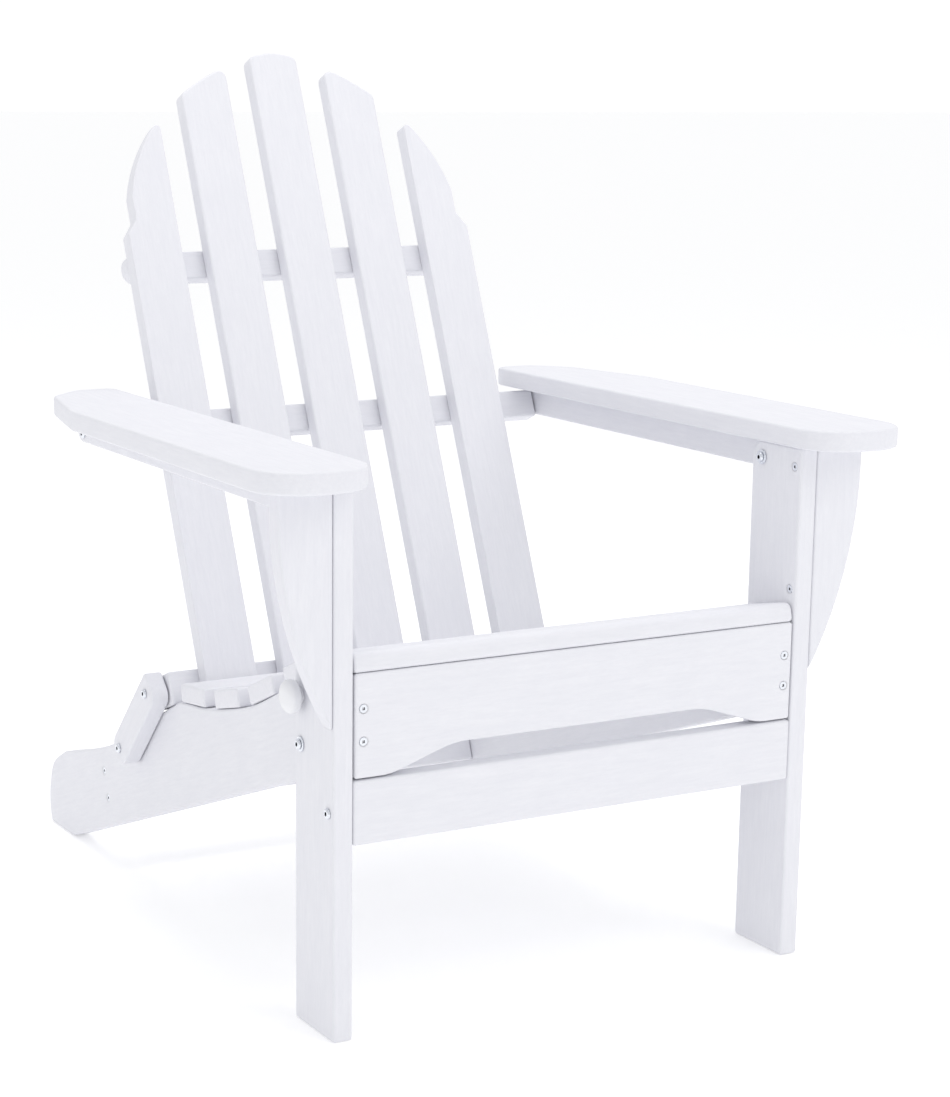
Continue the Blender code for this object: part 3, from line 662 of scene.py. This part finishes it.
def button_bolt(node, body, outward):
    """A button-head bolt in a sawn bolt's place. outward is the way along x that its head faces."""
    low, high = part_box(node)
    length = high.x - low.x
    head = (high.z - low.z) / 2
    under_head = length - HEAD_HEIGHT
    edge = under_head + HEAD_CHAMFER
    rings = [
        (0, SHANK - SHANK_CHAMFER, 0),
        (SHANK_CHAMFER, SHANK, 0),
        (under_head, SHANK, 0),
        (under_head, head - HEAD_CHAMFER, 0),
        (edge, head, 0),
    ]
    for step in range(1, BUTTON_STEPS + 1):
        angle = math.radians(BUTTON_FROM + (BUTTON_TO - BUTTON_FROM) * step / BUTTON_STEPS)
        share = math.sin(angle) / math.sin(math.radians(BUTTON_TO))
        reach = head * (BUTTON_FLATNESS + (1 - BUTTON_FLATNESS) * math.cos(angle))
        rings.append((edge + (HEAD_HEIGHT - HEAD_CHAMFER) * share, reach, 0))
    rings.append((length, head * BUTTON_TOP, 0))
    socket = [
        (length - SOCKET_LIP, SOCKET, 6),
        (length - SOCKET_DEPTH, SOCKET * SOCKET_TAPER, 6),
        (length - SOCKET_DEPTH - SOCKET_TIP, SOCKET * SOCKET_POINT, 6),
    ]
    # The hexagon socket takes the near-black steel: painted shade in the recess.
    bolt = turned_piece(f"{node}_button_head", rings + socket, recess=len(rings))
    bolt.data.materials.append(BOLT_STEEL)
    bolt.data.materials.append(RECESS_SHADE_STEEL)
    bolt.location = (low.x if outward > 0 else high.x, (low.y + high.y) / 2, (low.z + high.z) / 2)
    bolt.rotation_euler.z = 0 if outward > 0 else math.pi
    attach(bolt, body)
    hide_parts(node)


for side, sign in SIDES:
    for kind, (body, facing) in BOLT_HOMES.items():
        button_bolt(f"{kind}_{side}", body or f"link_{side}", sign * facing)


# ---- Washers and nuts ------------------------------------------------------------------------------
# A flat stamped washer is under the head at the rail and arm pivots. Chamfered hexagon nuts close the
# arm pivots outside, and the rail and link pivots inside the rails.

BORE = 0.0032
STAMPED_EDGE = 0.0003
STAMPED_CORNER = 0.0007
STAMPED_BULGE = 0.0001
NUT_CHAMFER = 0.0009
NUT_FACE = 0.9


def fastener(node, body, rings, name):
    """A washer or a nut in a sawn one's place. Its bore is closed by a flat cap at each face, which the
    bolt's shank passes through."""
    low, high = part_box(node)
    piece = turned_piece(name, rings)
    piece.data.materials.append(BOLT_STEEL)
    piece.location = (low.x, (low.y + high.y) / 2, (low.z + high.z) / 2)
    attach(piece, body)
    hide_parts(node)


for side, _ in SIDES:
    for kind in ("arm_washer", "rail_washer"):
        low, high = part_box(f"{kind}_{side}")
        thick = high.x - low.x
        radius = (high.z - low.z) / 2
        rings = [
            (thick, BORE, 0),
            (thick, radius - STAMPED_CORNER, 0),
            (thick - STAMPED_EDGE, radius - STAMPED_BULGE, 0),
            (thick / 2, radius, 0),
            (STAMPED_EDGE, radius - STAMPED_BULGE, 0),
            (0, radius - STAMPED_CORNER, 0),
            (0, BORE, 0),
        ]
        fastener(f"{kind}_{side}", "front_frame", rings, f"{kind}_{side}_stamping")
    for kind, body in (("arm_nut", "front_frame"), ("rail_nut", "seat"), ("link_nut", "seat")):
        low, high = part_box(f"{kind}_{side}")
        thick = high.x - low.x
        flats = (high.y - low.y) / 2
        rings = [
            (thick, BORE, 0),
            (thick, flats * NUT_FACE, 0),
            (thick - NUT_CHAMFER, flats, 6),
            (NUT_CHAMFER, flats, 6),
            (0, flats * NUT_FACE, 0),
            (0, BORE, 0),
        ]
        fastener(f"{kind}_{side}", body, rings, f"{kind}_{side}_hexagon")


# ---- Floor, lights and camera ----------------------------------------------------------------------
# The chair stands on a plain white floor before a white wall, under wide soft lights from the front
# right and from above. A weak one fills in from the left. Lights and camera are placed in metres.

FLOOR_REACH = 60
FLOOR_DROP = 0.0002
FLOOR_PAINT = (0.95, 0.95, 0.95, 1)
FLOOR_GLOW = 0.22
WHITE_LIGHT = (1, 1, 1, 1)
SKY_LIGHT = (0.985, 0.99, 1.0, 1)
SKY_STRENGTH = 0.81
WALL_STRENGTH = 1.02
LAMP_LIGHT = (1.0, 0.99, 0.985)

floor_paint, _, floor_shader = blank_material("studio_floor")
floor_shader.inputs["Base Color"].default_value = FLOOR_PAINT
floor_shader.inputs["Emission Color"].default_value = WHITE_LIGHT
floor_shader.inputs["Emission Strength"].default_value = FLOOR_GLOW
floor_shader.inputs["Roughness"].default_value = 0.9
floor_shader.inputs["Specular IOR Level"].default_value = 0.1

floor_mesh = bpy.data.meshes.new("studio_floor")
corners = [(x * FLOOR_REACH, y * FLOOR_REACH, 0) for x, y in ((-1, -1), (1, -1), (1, 1), (-1, 1))]
floor_mesh.from_pydata(corners, [], [(0, 1, 2, 3)])
floor_mesh.materials.append(floor_paint)
studio_floor = shown("studio_floor", floor_mesh)
studio_floor.location.z = -FLOOR_DROP

world = bpy.data.worlds.new("studio")
world.use_nodes = True
studio = world.node_tree
sky = studio.nodes["Background"]
sky.inputs["Color"].default_value = SKY_LIGHT
sky.inputs["Strength"].default_value = SKY_STRENGTH
wall = studio.nodes.new("ShaderNodeBackground")
wall.inputs["Color"].default_value = WHITE_LIGHT
wall.inputs["Strength"].default_value = WALL_STRENGTH
ray = studio.nodes.new("ShaderNodeLightPath")
seen = studio.nodes.new("ShaderNodeMixShader")
studio.links.new(ray.outputs["Is Camera Ray"], seen.inputs[0])
studio.links.new(sky.outputs[0], seen.inputs[1])
studio.links.new(wall.outputs[0], seen.inputs[2])
studio.links.new(seen.outputs[0], studio.nodes["World Output"].inputs["Surface"])
bpy.context.scene.world = world


def soft_light(name, place, target, width, power):
    """A square soft box at place that faces target, with power in watts."""
    lamp = bpy.data.lights.new(name, "AREA")
    lamp.shape = "RECTANGLE"
    lamp.size = width
    lamp.size_y = width
    lamp.energy = power
    lamp.color = LAMP_LIGHT
    light = bpy.data.objects.new(name, lamp)
    light.location = place
    light.rotation_euler = (Vector(target) - Vector(place)).to_track_quat("-Z", "Y").to_euler()
    bpy.context.scene.collection.objects.link(light)


soft_light("key_light", (1.6, -3.2, 3.2), (0, 0, 0.4), width=2.2, power=24)
soft_light("top_light", (0.2, 0.4, 3.6), (0, 0, 0.4), width=2.4, power=34)
soft_light("left_light", (-4.2, -1.2, 1.1), (0, 0, 0.5), width=1.6, power=4.5)

LENS = 81.4
SENSOR_WIDTH = 36
LENS_SHIFT = (0.0593, 0.0805)
CAMERA_PLACE = (-1.3364, -2.4535, 0.9345)
CAMERA_YAW = math.radians(28.88)
CAMERA_PITCH = math.radians(12.70)
CAMERA_ROLL = math.radians(0.48)

lens = bpy.data.cameras.new("camera")
lens.lens = LENS
lens.sensor_width = SENSOR_WIDTH
lens.shift_x, lens.shift_y = LENS_SHIFT
camera = bpy.data.objects.new("camera", lens)
camera.location = CAMERA_PLACE
heading = Matrix.Rotation(-CAMERA_YAW, 4, "Z")
tilt = Matrix.Rotation(math.pi / 2 - CAMERA_PITCH, 4, "X")
camera.rotation_euler = (heading @ tilt @ Matrix.Rotation(CAMERA_ROLL, 4, "Z")).to_euler()
bpy.context.scene.collection.objects.link(camera)
bpy.context.scene.camera = camera
bpy.context.scene.view_settings.view_transform = "Standard"
